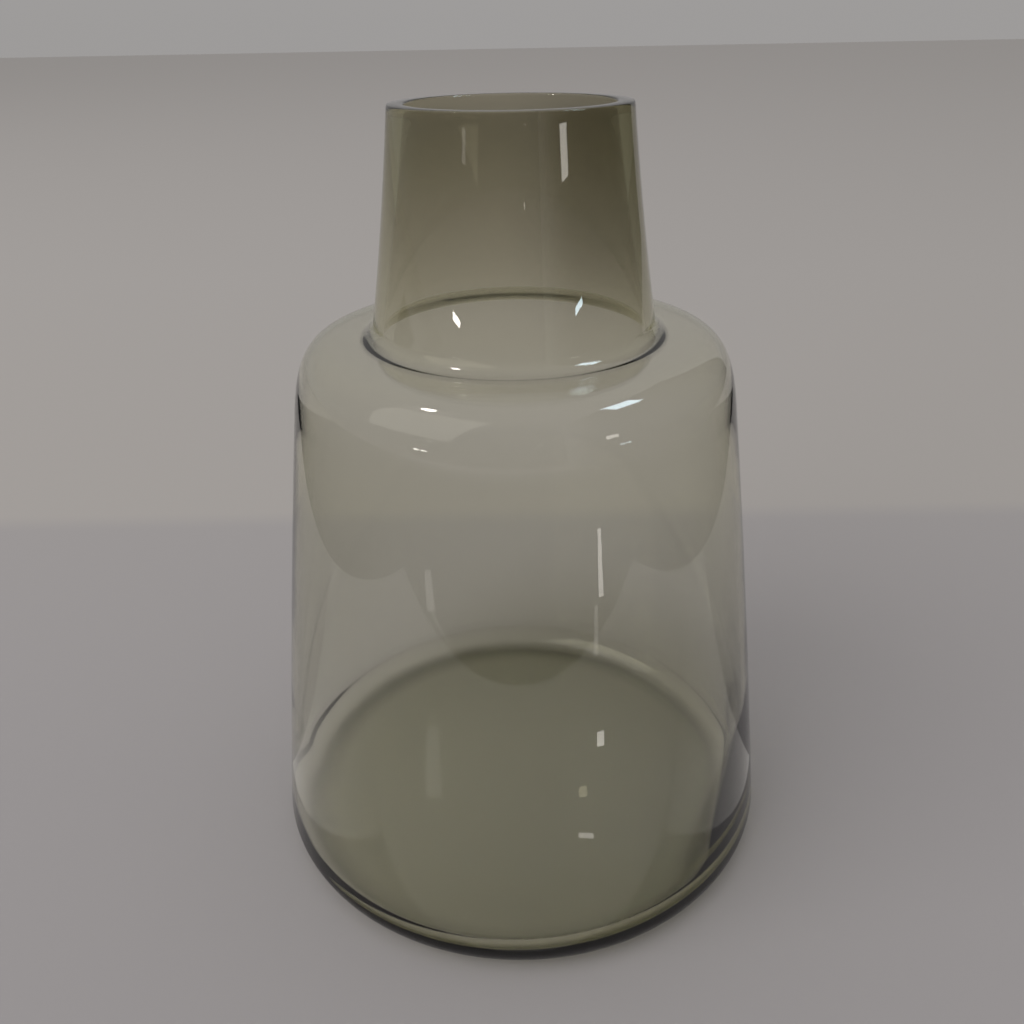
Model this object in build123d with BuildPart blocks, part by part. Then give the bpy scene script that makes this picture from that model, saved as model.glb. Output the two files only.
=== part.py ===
from build123d import *
import os

# Glass cylinder vase, blown in one piece: a flat base, a thin body that narrows upward,
# a rounded shoulder and a thick conical neck with a cut rim. Millimetres, +Z up, with the
# origin on the table at the middle of the base. Every outline below is (radius, height).

# ---- driving dimensions ----
total_height = 240.0
rim_radius = 33.5
rim_wall = 4.7
rim_rounding = 0.6

neck_foot_radius = 42.3
neck_foot_height = 177.2
neck_hollowing = 0.45  # the neck's side bends in by this much at half its height
neck_foot_wall = 3.0
crease_rounding = 4.0  # where the neck sweeps into the shoulder outside
neck_root_rounding = 5.0  # the same place inside

body_top_radius = 67.5
body_top_height = 155.0
body_foot_radius = 87.3  # where the body's side would meet the table with no rounded heel
body_bulge = 0.5
body_wall = 1.9
heel_rounding = 9.0

shoulder_reach = 22.0  # how far the shoulder follows the body's line upward
shoulder_return = 17.5  # and how far it runs level toward the neck
shoulder_wall = 1.8

base_thickness = 4.0
corner_rounding = 9.0  # between the inside wall and the inside floor
foot_wall = 2.9  # the body's wall just above the corner

# ---- places worked out from them ----
body_lean = (body_foot_radius - body_top_radius) / body_top_height
mid_neck_height = (total_height + neck_foot_height) / 2
mid_neck_radius = (rim_radius + neck_foot_radius) / 2 - neck_hollowing
mid_body_height = body_top_height / 2
mid_body_radius = (body_foot_radius + body_top_radius) / 2 + body_bulge
inner_rim_radius = rim_radius - rim_wall
inner_neck_radius = neck_foot_radius - neck_foot_wall
inner_crease_height = neck_foot_height - shoulder_wall
inner_body_radius = body_top_radius - body_wall
inner_foot_radius = body_foot_radius - body_lean * base_thickness - foot_wall
mid_inner_height = (body_top_height + base_thickness) / 2
mid_inner_radius = (inner_body_radius + inner_foot_radius) / 2 + body_bulge

# ---- the one piece of glass ----
with BuildPart() as glass_vase:
    with BuildSketch(Plane.XZ) as section:
        with BuildLine():
            # outside, from the table up to the rim
            base = Line((0, 0), (body_foot_radius, 0))
            body = ThreePointArc(
                base @ 1, (mid_body_radius, mid_body_height), (body_top_radius, body_top_height)
            )
            shoulder = Bezier(
                body @ 1,
                (body_top_radius - body_lean * shoulder_reach, body_top_height + shoulder_reach),
                (neck_foot_radius + shoulder_return, neck_foot_height),
                (neck_foot_radius, neck_foot_height),
            )
            neck = ThreePointArc(
                shoulder @ 1, (mid_neck_radius, mid_neck_height), (rim_radius, total_height)
            )
            rim = Line(neck @ 1, (inner_rim_radius, total_height))
            # inside, from the rim down to the floor
            inner_neck = ThreePointArc(
                rim @ 1,
                (mid_neck_radius - (rim_wall + neck_foot_wall) / 2, mid_neck_height),
                (inner_neck_radius, inner_crease_height),
            )
            inner_shoulder = Bezier(
                inner_neck @ 1,
                (neck_foot_radius + shoulder_return, inner_crease_height),
                (inner_body_radius - body_lean * shoulder_reach, inner_crease_height),
                (inner_body_radius, body_top_height),
            )
            inner_body = ThreePointArc(
                inner_shoulder @ 1,
                (mid_inner_radius, mid_inner_height),
                (inner_foot_radius, base_thickness),
            )
            inner_floor = Line(inner_body @ 1, (0, base_thickness))
            Line(inner_floor @ 1, base @ 0)
        make_face()
        fillet(section.vertices().sort_by_distance(base @ 1)[0], heel_rounding)
        fillet(section.vertices().sort_by_distance(shoulder @ 1)[0], crease_rounding)
        fillet(section.vertices().sort_by_distance(inner_neck @ 1)[0], neck_root_rounding)
        fillet(section.vertices().sort_by_distance(inner_floor @ 0)[0], corner_rounding)
        fillet(section.vertices().sort_by_distance(rim @ 0)[0], rim_rounding)
        fillet(section.vertices().sort_by_distance(rim @ 1)[0], rim_rounding)
    revolve(axis=Axis.Z)

glass_vase.part.label = "glass_vase"

os.makedirs("parts", exist_ok=True)
export_step(glass_vase.part, "parts/glass_vase.step")
print("glass_vase", round(glass_vase.part.volume / 1000, 1), "cm3")
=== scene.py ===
from math import atan2, cos, pi, radians, sin

import bmesh
import bpy
from mathutils import Matrix, Vector
from mathutils.geometry import interpolate_bezier


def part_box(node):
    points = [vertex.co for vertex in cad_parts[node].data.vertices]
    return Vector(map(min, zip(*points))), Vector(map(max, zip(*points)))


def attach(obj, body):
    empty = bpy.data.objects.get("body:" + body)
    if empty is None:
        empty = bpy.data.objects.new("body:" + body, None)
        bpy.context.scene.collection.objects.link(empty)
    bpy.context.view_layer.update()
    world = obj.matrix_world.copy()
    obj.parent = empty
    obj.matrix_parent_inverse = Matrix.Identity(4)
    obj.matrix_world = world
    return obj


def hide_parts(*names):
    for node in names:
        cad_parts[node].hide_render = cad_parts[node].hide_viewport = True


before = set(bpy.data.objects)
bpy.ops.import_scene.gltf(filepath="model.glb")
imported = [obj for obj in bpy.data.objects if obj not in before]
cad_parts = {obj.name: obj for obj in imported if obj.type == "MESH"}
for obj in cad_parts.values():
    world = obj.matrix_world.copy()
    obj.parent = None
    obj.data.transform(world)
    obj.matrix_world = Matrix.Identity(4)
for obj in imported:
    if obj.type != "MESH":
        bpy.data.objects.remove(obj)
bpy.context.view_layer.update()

# ---------------------------------------------------------------------------------------
# The vase: one piece of smoke-tinted glass, blown with a flat base, a thin body and a
# thick neck, then cut and polished flat at the rim. It stands on its base with nothing
# fixed to it. The outlines are (radius, height) in metres, outside and inside.
scene = bpy.context.scene
rim_height = Vector(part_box("glass_vase")[1]).z
mm = 0.001
rim_radius = 33.5 * mm
polish = 0.6 * mm  # of the rounding on the rim's two edges
neck_hollowing = 0.45 * mm  # the neck's side bends in by this much at half its height
crease_height = 177.2 * mm
crease_radius = 42.3 * mm
sweep = 4.0 * mm  # of the hollow curve in which the shoulder runs up into the neck
shoulder_height = 155.0 * mm
shoulder_radius = 67.5 * mm
shoulder_reach = 22.0 * mm  # how far up the body's line the shoulder's curve is led
shoulder_rise = 21.5 * mm  # and how high it is led there
shoulder_turn = 7.5 * mm  # how far in from the body it has turned level
foot_radius = 87.3 * mm  # where the body's side would meet the table with no rounded heel
body_bow = 0.5 * mm
heel = 10.0 * mm  # height of the rounded edge between the base and the body
flat_radius = 76.5 * mm  # of the flat underside
turns = 224  # facets round the vase


def curve(start, start_handle, end_handle, end, steps):
    """A Bezier stretch of an outline, without its last point."""
    ends = [Vector((r, 0.0, z)) for r, z in (start, start_handle, end_handle, end)]
    return interpolate_bezier(*ends, steps + 1)[:-1]


def bow(start, end, bulge, steps):
    """A slightly bowed side from start to end, bulge metres out at its middle."""
    (r0, z0), (r1, z1) = start, end
    reach = bulge * 4 / 3
    first = (r0 + (r1 - r0) / 3 + reach, z0 + (z1 - z0) / 3)
    second = (r0 + (r1 - r0) * 2 / 3 + reach, z0 + (z1 - z0) * 2 / 3)
    return curve(start, first, second, end, steps)


lean = (foot_radius - shoulder_radius) / shoulder_height
heel_top = (foot_radius - lean * heel + 0.1 * mm, heel)
body_end = (shoulder_radius, shoulder_height)
sweep_foot = (crease_radius + sweep, crease_height)
sweep_top = (crease_radius - sweep * 0.14, crease_height + sweep)
rim_edge = (rim_radius, rim_height - polish)

outside = [Vector((0.0, 0.0, 0.0))]
outside += curve(
    (flat_radius, 0.0),
    (flat_radius + 5.5 * mm, 0.0),
    (foot_radius - 0.5 * mm, heel * 0.45),
    heel_top,
    20,
)
outside += bow(heel_top, body_end, body_bow, 34)
outside += curve(
    body_end,
    (shoulder_radius - lean * shoulder_reach, shoulder_height + shoulder_rise),
    (shoulder_radius - shoulder_turn, crease_height + 0.3 * mm),
    sweep_foot,
    34,
)
outside += curve(
    sweep_foot,
    (sweep_foot[0] - sweep * 0.55, sweep_foot[1]),
    (sweep_top[0] + sweep * 0.08, sweep_top[1] - sweep * 0.55),
    sweep_top,
    16,
)
outside += bow(sweep_top, rim_edge, -neck_hollowing, 22)
outside += curve(
    rim_edge,
    (rim_radius, rim_height - polish * 0.45),
    (rim_radius - polish * 0.55, rim_height),
    (rim_radius - polish, rim_height),
    5,
)

rim_wall = 4.7 * mm
foot_wall = 3.0 * mm  # at the neck's foot
shoulder_wall = 1.8 * mm
body_wall = 1.9 * mm
base_thickness = 4.0 * mm
nose = 5.0 * mm  # of the curve inside the crease
inner_rim = rim_radius - rim_wall
inner_edge = (inner_rim, rim_height - polish)
neck_root = (crease_radius - foot_wall - nose * 0.14, crease_height - shoulder_wall + nose)
nose_foot = (crease_radius - foot_wall + nose, crease_height - shoulder_wall)
body_top = (shoulder_radius - body_wall, shoulder_height)
swell_top = (78.2 * mm, 58.0 * mm)  # below this the wall thickens toward the base
corner_top = (82.2 * mm, 14.0 * mm)  # where the wall starts to turn into the floor
floor_edge = (74.5 * mm, base_thickness)

inside = curve(
    (inner_rim + polish, rim_height),
    (inner_rim + polish * 0.45, rim_height),
    (inner_rim, rim_height - polish * 0.55),
    inner_edge,
    5,
)
inside += bow(inner_edge, neck_root, -neck_hollowing, 22)
inside += curve(
    neck_root,
    (neck_root[0] + nose * 0.08, neck_root[1] - nose * 0.55),
    (nose_foot[0] - nose * 0.55, nose_foot[1]),
    nose_foot,
    16,
)
inside += curve(
    nose_foot,
    (body_top[0] - 6.6 * mm, nose_foot[1] + 0.2 * mm),
    (body_top[0] - 2.0 * mm, shoulder_height + 21.0 * mm),
    body_top,
    34,
)
inside += bow(body_top, swell_top, 0.1 * mm, 20)
inside += bow(swell_top, corner_top, 0.2 * mm, 12)
inside += curve(
    corner_top,
    (corner_top[0] + 0.3 * mm, corner_top[1] - 5.0 * mm),
    (floor_edge[0] + 4.5 * mm, base_thickness),
    floor_edge,
    16,
)
inside += [Vector((floor_edge[0], 0.0, base_thickness)), Vector((0.0, 0.0, base_thickness))]

glass_shape = bmesh.new()
rail = [glass_shape.verts.new(point) for point in outside + inside]
edges = [glass_shape.edges.new(pair) for pair in zip(rail, rail[1:])]
bmesh.ops.spin(
    glass_shape,
    geom=rail + edges,
    cent=(0, 0, 0),
    axis=(0, 0, 1),
    angle=2 * pi,
    steps=turns,
    use_merge=True,
)
bmesh.ops.remove_doubles(glass_shape, verts=glass_shape.verts, dist=1e-6)
bmesh.ops.recalc_face_normals(glass_shape, faces=glass_shape.faces)
for face in glass_shape.faces:
    face.smooth = True

drift = 1.9 * mm  # the hollow runs off centre toward the floor, so one side is thicker


def mid_wall(height):
    """A radius inside the glass at a height near the base."""
    return foot_radius - lean * height - 1.0 * mm if height > heel else corner_top[0] + 0.5 * mm


for vertex in glass_shape.verts:
    radius = vertex.co.xy.length
    depth = max(0.0, min(1.0, (swell_top[1] - vertex.co.z) / (swell_top[1] - base_thickness)))
    if vertex.co.z > base_thickness / 2 and radius < mid_wall(vertex.co.z):
        vertex.co.x -= drift * depth * depth * (3 - 2 * depth)
glass_mesh = bpy.data.meshes.new("glass_vase_blown")
glass_shape.to_mesh(glass_mesh)
glass_shape.free()
vase = bpy.data.objects.new("blown_glass", glass_mesh)
scene.collection.objects.link(vase)


class Wire:
    """A shader socket that adds up, multiplies and so on as a number does."""

    def __init__(self, tree, socket):
        self.tree = tree
        self.socket = socket

    @staticmethod
    def node(tree, kind, settings=None, **inputs):
        """A node of this kind with its settings made first and its inputs set or linked."""
        made = tree.nodes.new(kind)
        for name, value in (settings or {}).items():
            if name == "stops":
                ramp = made.color_ramp.elements
                while len(ramp) < len(value):
                    ramp.new(0.5)
                for stop, (place, colour) in zip(ramp, value):
                    stop.position = place
                    stop.color = (*colour, 1.0)
            else:
                setattr(made, name, value)
        for name, value in inputs.items():
            key = int(name[1:]) if name[0] == "i" and name[1:].isdigit() else name.replace("_", " ")
            if isinstance(value, Wire):
                tree.links.new(value.socket, made.inputs[key])
            else:
                made.inputs[key].default_value = value
        return made

    def out(self, made, name=0):
        return Wire(self.tree, made.outputs[name])

    def sum(self, operation, first, second):
        made = self.node(self.tree, "ShaderNodeMath", {"operation": operation}, i0=first, i1=second)
        return self.out(made)

    def __add__(self, other):
        return self.sum("ADD", self, other)

    def __radd__(self, other):
        return self.sum("ADD", other, self)

    def __sub__(self, other):
        return self.sum("SUBTRACT", self, other)

    def __rsub__(self, other):
        return self.sum("SUBTRACT", other, self)

    def __mul__(self, other):
        return self.sum("MULTIPLY", self, other)

    def __rmul__(self, other):
        return self.sum("MULTIPLY", other, self)


def empty_tree(owner):
    """The owner's shader tree with nothing in it."""
    owner.use_nodes = True
    owner.node_tree.nodes.clear()
    return owner.node_tree


# The glass has an even tint all through, and its surface adds more up the neck. Up the
# neck's right side it is darkened further: painted shade, for the darker room on that side.
glass = bpy.data.materials.new("smoke_glass")
tree = empty_tree(glass)
place = Wire.node(tree, "ShaderNodeTexCoord")
here = Wire(tree, place.outputs["Object"])
split = Wire.node(tree, "ShaderNodeSeparateXYZ", {}, Vector=here)
level = Wire(tree, split.outputs["Z"]) * (1 / rim_height)
tint = Wire.node(
    tree,
    "ShaderNodeValToRGB",
    {
        "stops": (
            (0.0, (0.985, 0.985, 0.985)),
            (170 * mm / rim_height, (0.985, 0.985, 0.985)),
            (185 * mm / rim_height, (0.925, 0.91, 0.88)),
            (205 * mm / rim_height, (0.775, 0.752, 0.715)),
            (228 * mm / rim_height, (0.645, 0.620, 0.555)),
            (1.0, (0.60, 0.575, 0.52)),
        )
    },
    Fac=level,
)
to_right = Wire.node(
    tree,
    "ShaderNodeMapRange",
    {"interpolation_type": "SMOOTHSTEP"},
    Value=Wire(tree, split.outputs["X"]),
    From_Min=-6 * mm,
    From_Max=26 * mm,
)
up_neck = Wire.node(
    tree,
    "ShaderNodeMapRange",
    {"interpolation_type": "SMOOTHSTEP"},
    Value=level,
    From_Min=0.72,
    From_Max=0.86,
)
# painted shade: darkens the upper neck toward its right side
right_painted_shade = 0.18
neck_painted_shade = right_painted_shade * Wire(tree, to_right.outputs["Result"]) * Wire(tree, up_neck.outputs["Result"])
colour = Wire.node(
    tree,
    "ShaderNodeVectorMath",
    {"operation": "SCALE"},
    i0=Wire(tree, tint.outputs["Color"]),
    Scale=1.0 - neck_painted_shade,
)
ripple = Wire.node(tree, "ShaderNodeTexNoise", {}, Vector=here, Scale=22.0, Detail=1.0)
bump = Wire.node(
    tree, "ShaderNodeBump", {}, Strength=0.25, Distance=0.4 * mm, Height=Wire(tree, ripple.outputs["Fac"])
)
shader = Wire.node(
    tree,
    "ShaderNodeBsdfPrincipled",
    {},
    Base_Color=Wire(tree, colour.outputs["Vector"]),
    Roughness=0.0,
    IOR=1.5,
    Transmission_Weight=1.0,
    Normal=Wire(tree, bump.outputs["Normal"]),
)
smoke = Wire.node(
    tree, "ShaderNodeVolumeAbsorption", {}, Color=(0.64, 0.628, 0.31, 1.0), Density=100.0
)
Wire.node(
    tree,
    "ShaderNodeOutputMaterial",
    {},
    Surface=Wire(tree, shader.outputs["BSDF"]),
    Volume=Wire(tree, smoke.outputs["Volume"]),
)
glass_mesh.materials.append(glass)
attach(vase, "root")
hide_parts("glass_vase")

# ---------------------------------------------------------------------------------------
# The floor the vase stands on: plain, pale and matt, a shade lighter behind the vase. Right
# under it a pool of light is painted, where the glass gathers light, most toward the left.
floor_size = 20.0
floor_gap = 0.2 * mm  # below the base
floor_shape = bmesh.new()
bmesh.ops.create_grid(floor_shape, x_segments=1, y_segments=1, size=floor_size / 2)
bmesh.ops.translate(floor_shape, vec=(0, 0, -floor_gap), verts=floor_shape.verts)
floor_mesh = bpy.data.meshes.new("floor")
floor_shape.to_mesh(floor_mesh)
floor_shape.free()
paint = bpy.data.materials.new("floor_paint")
tree = empty_tree(paint)
place = Wire.node(tree, "ShaderNodeTexCoord")
here = Wire(tree, place.outputs["Object"])
split = Wire.node(tree, "ShaderNodeSeparateXYZ", {}, Vector=here)
shade = Wire.node(
    tree,
    "ShaderNodeValToRGB",
    {
        "stops": (
            (0.0, (0.475, 0.457, 0.470)),
            (0.205, (0.49, 0.472, 0.478)),
            (0.222, (0.545, 0.522, 0.507)),
            (0.8, (0.56, 0.54, 0.53)),
        )
    },
    Fac=Wire(tree, split.outputs["Y"]),
)
from_axis = Wire.node(tree, "ShaderNodeVectorMath", {"operation": "LENGTH"}, i0=here)
under = Wire.node(
    tree,
    "ShaderNodeMapRange",
    {"interpolation_type": "SMOOTHSTEP"},
    Value=Wire(tree, from_axis.outputs["Value"]),
    From_Min=68 * mm,
    From_Max=80 * mm,
    To_Min=1.0,
    To_Max=0.0,
)
# painted light: a brighter pool on the floor under the vase, strongest toward the left
gain = 0.62  # of the light gathered on the floor under the vase's axis
gain_slope = 6.0  # how much of it is lost for each metre to the right
painted_light_pool = 1.0 + Wire(tree, under.outputs["Result"]) * (gain - gain_slope * Wire(tree, split.outputs["X"]))
painted_pool_colour = Wire.node(
    tree,
    "ShaderNodeVectorMath",
    {"operation": "SCALE"},
    i0=Wire(tree, shade.outputs["Color"]),
    Scale=painted_light_pool,
)
cover = Wire.node(
    tree,
    "ShaderNodeBsdfPrincipled",
    {},
    Base_Color=Wire(tree, painted_pool_colour.outputs["Vector"]),
    Roughness=0.6,
    Specular_IOR_Level=0.0,
)
Wire.node(tree, "ShaderNodeOutputMaterial", {}, Surface=Wire(tree, cover.outputs["BSDF"]))
floor_mesh.materials.append(paint)
floor = bpy.data.objects.new("floor", floor_mesh)
scene.collection.objects.link(floor)

# ---------------------------------------------------------------------------------------
# Light: an even room and one big soft light over the left shoulder. The glass's outside
# also mirrors small windows and lamps that nothing else sees, aimed near the rim.
room = bpy.data.worlds.new("room")
tree = empty_tree(room)
place = Wire.node(tree, "ShaderNodeTexCoord")
split = Wire.node(tree, "ShaderNodeSeparateXYZ", {}, Vector=Wire(tree, place.outputs["Generated"]))
sky = Wire.node(
    tree,
    "ShaderNodeValToRGB",
    {"stops": ((0.0, (0.34, 0.33, 0.325)), (0.3, (0.38, 0.37, 0.36)), (1.0, (0.60, 0.59, 0.58)))},
    Fac=Wire(tree, split.outputs["Z"]),
)
glow = Wire.node(tree, "ShaderNodeBackground", {}, Color=Wire(tree, sky.outputs["Color"]), Strength=1.0)
Wire.node(tree, "ShaderNodeOutputWorld", {}, Surface=Wire(tree, glow.outputs["Background"]))
scene.world = room


def lamp(name, width, height, power, colour, azimuth, elevation, distance, aim):
    """A soft rectangle of power watts; azimuth is from the camera's side, to the right."""
    light = bpy.data.lights.new(name, "AREA")
    light.shape = "RECTANGLE"
    light.size = width
    light.size_y = height
    light.energy = power
    light.color = colour
    made = bpy.data.objects.new(name, light)
    away = Vector((sin(azimuth) * cos(elevation), -cos(azimuth) * cos(elevation), sin(elevation)))
    made.location = Vector(aim) + away * distance
    made.rotation_euler = (-away).to_track_quat("-Z", "Y").to_euler()
    scene.collection.objects.link(made)
    return made


def gleam(name, width, height, strength, colour, azimuth, elevation, distance, aim):
    """A lamp that is seen only mirrored in the glass, as bright as strength says."""
    power = strength * pi * width * height
    made = lamp(name, width, height, power, colour, azimuth, elevation, distance, aim)
    made.visible_camera = False
    made.visible_diffuse = False
    made.visible_transmission = False
    return made


key = lamp("soft_left", 3.6, 3.6, 54.0, (1.0, 0.97, 0.94), radians(-55), radians(36), 4.0, (0, 0, 0.1))
key.visible_glossy = False

warm = (1.0, 0.95, 0.88)
cool = (0.72, 0.90, 1.0)
amber = (1.0, 0.90, 0.60)
near_rim = (0, 0, 190 * mm)
for name, width, height, strength, colour, azimuth, elevation in (
    ("window_left", 0.05, 0.025, 1.5, warm, -41, 8.3),
    ("window_right", 0.11, 0.050, 6.0, warm, 46, 8.1),
    ("lamp_left", 0.10, 0.07, 60.0, warm, -67, 56),
    ("halo_left_inner", 0.30, 0.12, 0.35, warm, -65, 55),
    ("halo_left_outer", 0.50, 0.20, 0.20, warm, -64, 54),
    ("lamp_right", 0.30, 0.17, 14.0, cool, 74, 48),
    ("foot_left", 0.11, 0.006, 30.0, warm, -45, 0.66),
    ("foot_right", 0.11, 0.006, 16.0, cool, 52, 0.72),
    ("neck_high", 0.020, 0.014, 6.0, warm, 12, 10.5),
    ("neck_low", 0.014, 0.006, 6.0, warm, 10, 6.75),
):
    gleam(name, width, height, strength, colour, radians(azimuth), radians(elevation), 1.0, near_rim)

# ---------------------------------------------------------------------------------------
# What the glass mirrors from below: the table's bright top round the vase's foot, and on
# it the reflections of windows and lamps as short stripes. Places are (x, y) in mm.
table_left = -376
table_right = 385
table_front = -312
glow_lift = 0.6 * mm  # the stripes lie above the glow, so that it doesn't hide them
stripe_lift = 1.0 * mm
for name, start, end, width, strength, colour, lift in (
    ("glow_front", (table_left, -203), (table_right, -203), 214, 0.22, warm, glow_lift),
    ("glow_left", (table_left, -44), (-98, -44), 100, 0.22, warm, glow_lift),
    ("glow_right", (98, -44), (table_right, -44), 100, 0.22, warm, glow_lift),
    ("stripe_left", (-132, -203), (-90, -154), 20, 0.5, warm, stripe_lift),
    ("stripe_left_far", (-319, -390), (-247, -331), 26, 1.3, warm, stripe_lift),
    ("stripe_left_soft", (-247, -331), (-174, -318), 7, 0.6, warm, stripe_lift),
    ("stripe_right_far", (377, -516), (253, -361), 17, 5.0, warm, stripe_lift),
    ("stripe_right", (229, -359), (171, -286), 11, 1.3, warm, stripe_lift),
    ("spot_right", (119, -206), (110, -194), 11, 6.0, warm, stripe_lift),
    ("spot_warm", (70, -179), (66, -171), 9, 2.0, amber, stripe_lift),
    ("spot_near", (55, -147), (53, -144), 13, 3.5, warm, stripe_lift),
):
    along = (Vector(end) - Vector(start)) * mm
    middle = (Vector(end) + Vector(start)) * mm / 2
    place = (middle.x, middle.y, lift)
    stripe = gleam(name, along.length, width * mm, strength, colour, 0.0, 0.0, 0.0, place)
    stripe.rotation_euler = (pi, 0.0, atan2(along.y, along.x))

# ---------------------------------------------------------------------------------------
# Painted shade: dark sheets stand for the unlit room beyond the table's edges, lying flat at
# the table's height, and for the shaded right side of the room. Only the glass's outside mirrors them.
reach = 3.0  # of the dark sheets, from the vase
sheet_back = 0.5
sheet_lift = 0.3 * mm
beyond_shape = bmesh.new()
for low, high in (
    ((-reach, -reach), (table_left * mm, sheet_back)),
    ((table_right * mm, -reach), (reach, sheet_back)),
    ((table_left * mm, -reach), (table_right * mm, table_front * mm)),
):
    around = (low, (high[0], low[1]), high, (low[0], high[1]))
    beyond_shape.faces.new([beyond_shape.verts.new((x, y, sheet_lift)) for x, y in around])
side_near = -2.5
side_far = 1.3
side_top = 1.8
side_right = 1.1
around = ((side_near, 0.0), (side_far, 0.0), (side_far, side_top), (side_near, side_top))
beyond_shape.faces.new([beyond_shape.verts.new((side_right, y, z)) for y, z in around])
beyond_mesh = bpy.data.meshes.new("beyond")
beyond_shape.to_mesh(beyond_mesh)
beyond_shape.free()
room_shade = bpy.data.materials.new("painted_room_shade")
tree = empty_tree(room_shade)
place = Wire.node(tree, "ShaderNodeTexCoord")
split = Wire.node(tree, "ShaderNodeSeparateXYZ", {}, Vector=Wire(tree, place.outputs["Object"]))
# painted shade: nearly black from 0.7 m in front of the vase onward, paler toward the camera's side
gloom = Wire.node(
    tree,
    "ShaderNodeMapRange",
    {"interpolation_type": "SMOOTHSTEP"},
    Value=Wire(tree, split.outputs["Y"]),
    From_Min=side_near,
    From_Max=-0.7,
    To_Min=0.85,
    To_Max=0.04,
)
cover = Wire.node(tree, "ShaderNodeBsdfDiffuse", {}, Color=Wire(tree, gloom.outputs["Result"]))
Wire.node(tree, "ShaderNodeOutputMaterial", {}, Surface=Wire(tree, cover.outputs["BSDF"]))
beyond_mesh.materials.append(room_shade)
beyond = bpy.data.objects.new("beyond", beyond_mesh)
scene.collection.objects.link(beyond)
for ray in ("camera", "diffuse", "transmission", "volume_scatter", "shadow"):
    setattr(beyond, "visible_" + ray, False)

# ---------------------------------------------------------------------------------------
# The camera, a little above the rim and close to the vase, looking down on it.
eye = (0.0, -274.6 * mm, 259.5 * mm)
look_left = radians(0.341)
look_down = radians(27.775)
roll = radians(-1.073)
camera_data = bpy.data.cameras.new("camera")
camera_data.sensor_width = 36.0
camera_data.lens = 32.93
camera_data.clip_start = 0.01
camera = bpy.data.objects.new("camera", camera_data)
camera.matrix_world = (
    Matrix.Translation(eye)
    @ Matrix.Rotation(look_left, 4, "Z")
    @ Matrix.Rotation(radians(90) - look_down, 4, "X")
    @ Matrix.Rotation(roll, 4, "Z")
)
scene.collection.objects.link(camera)
scene.camera = camera
scene.view_settings.view_transform = "Standard"
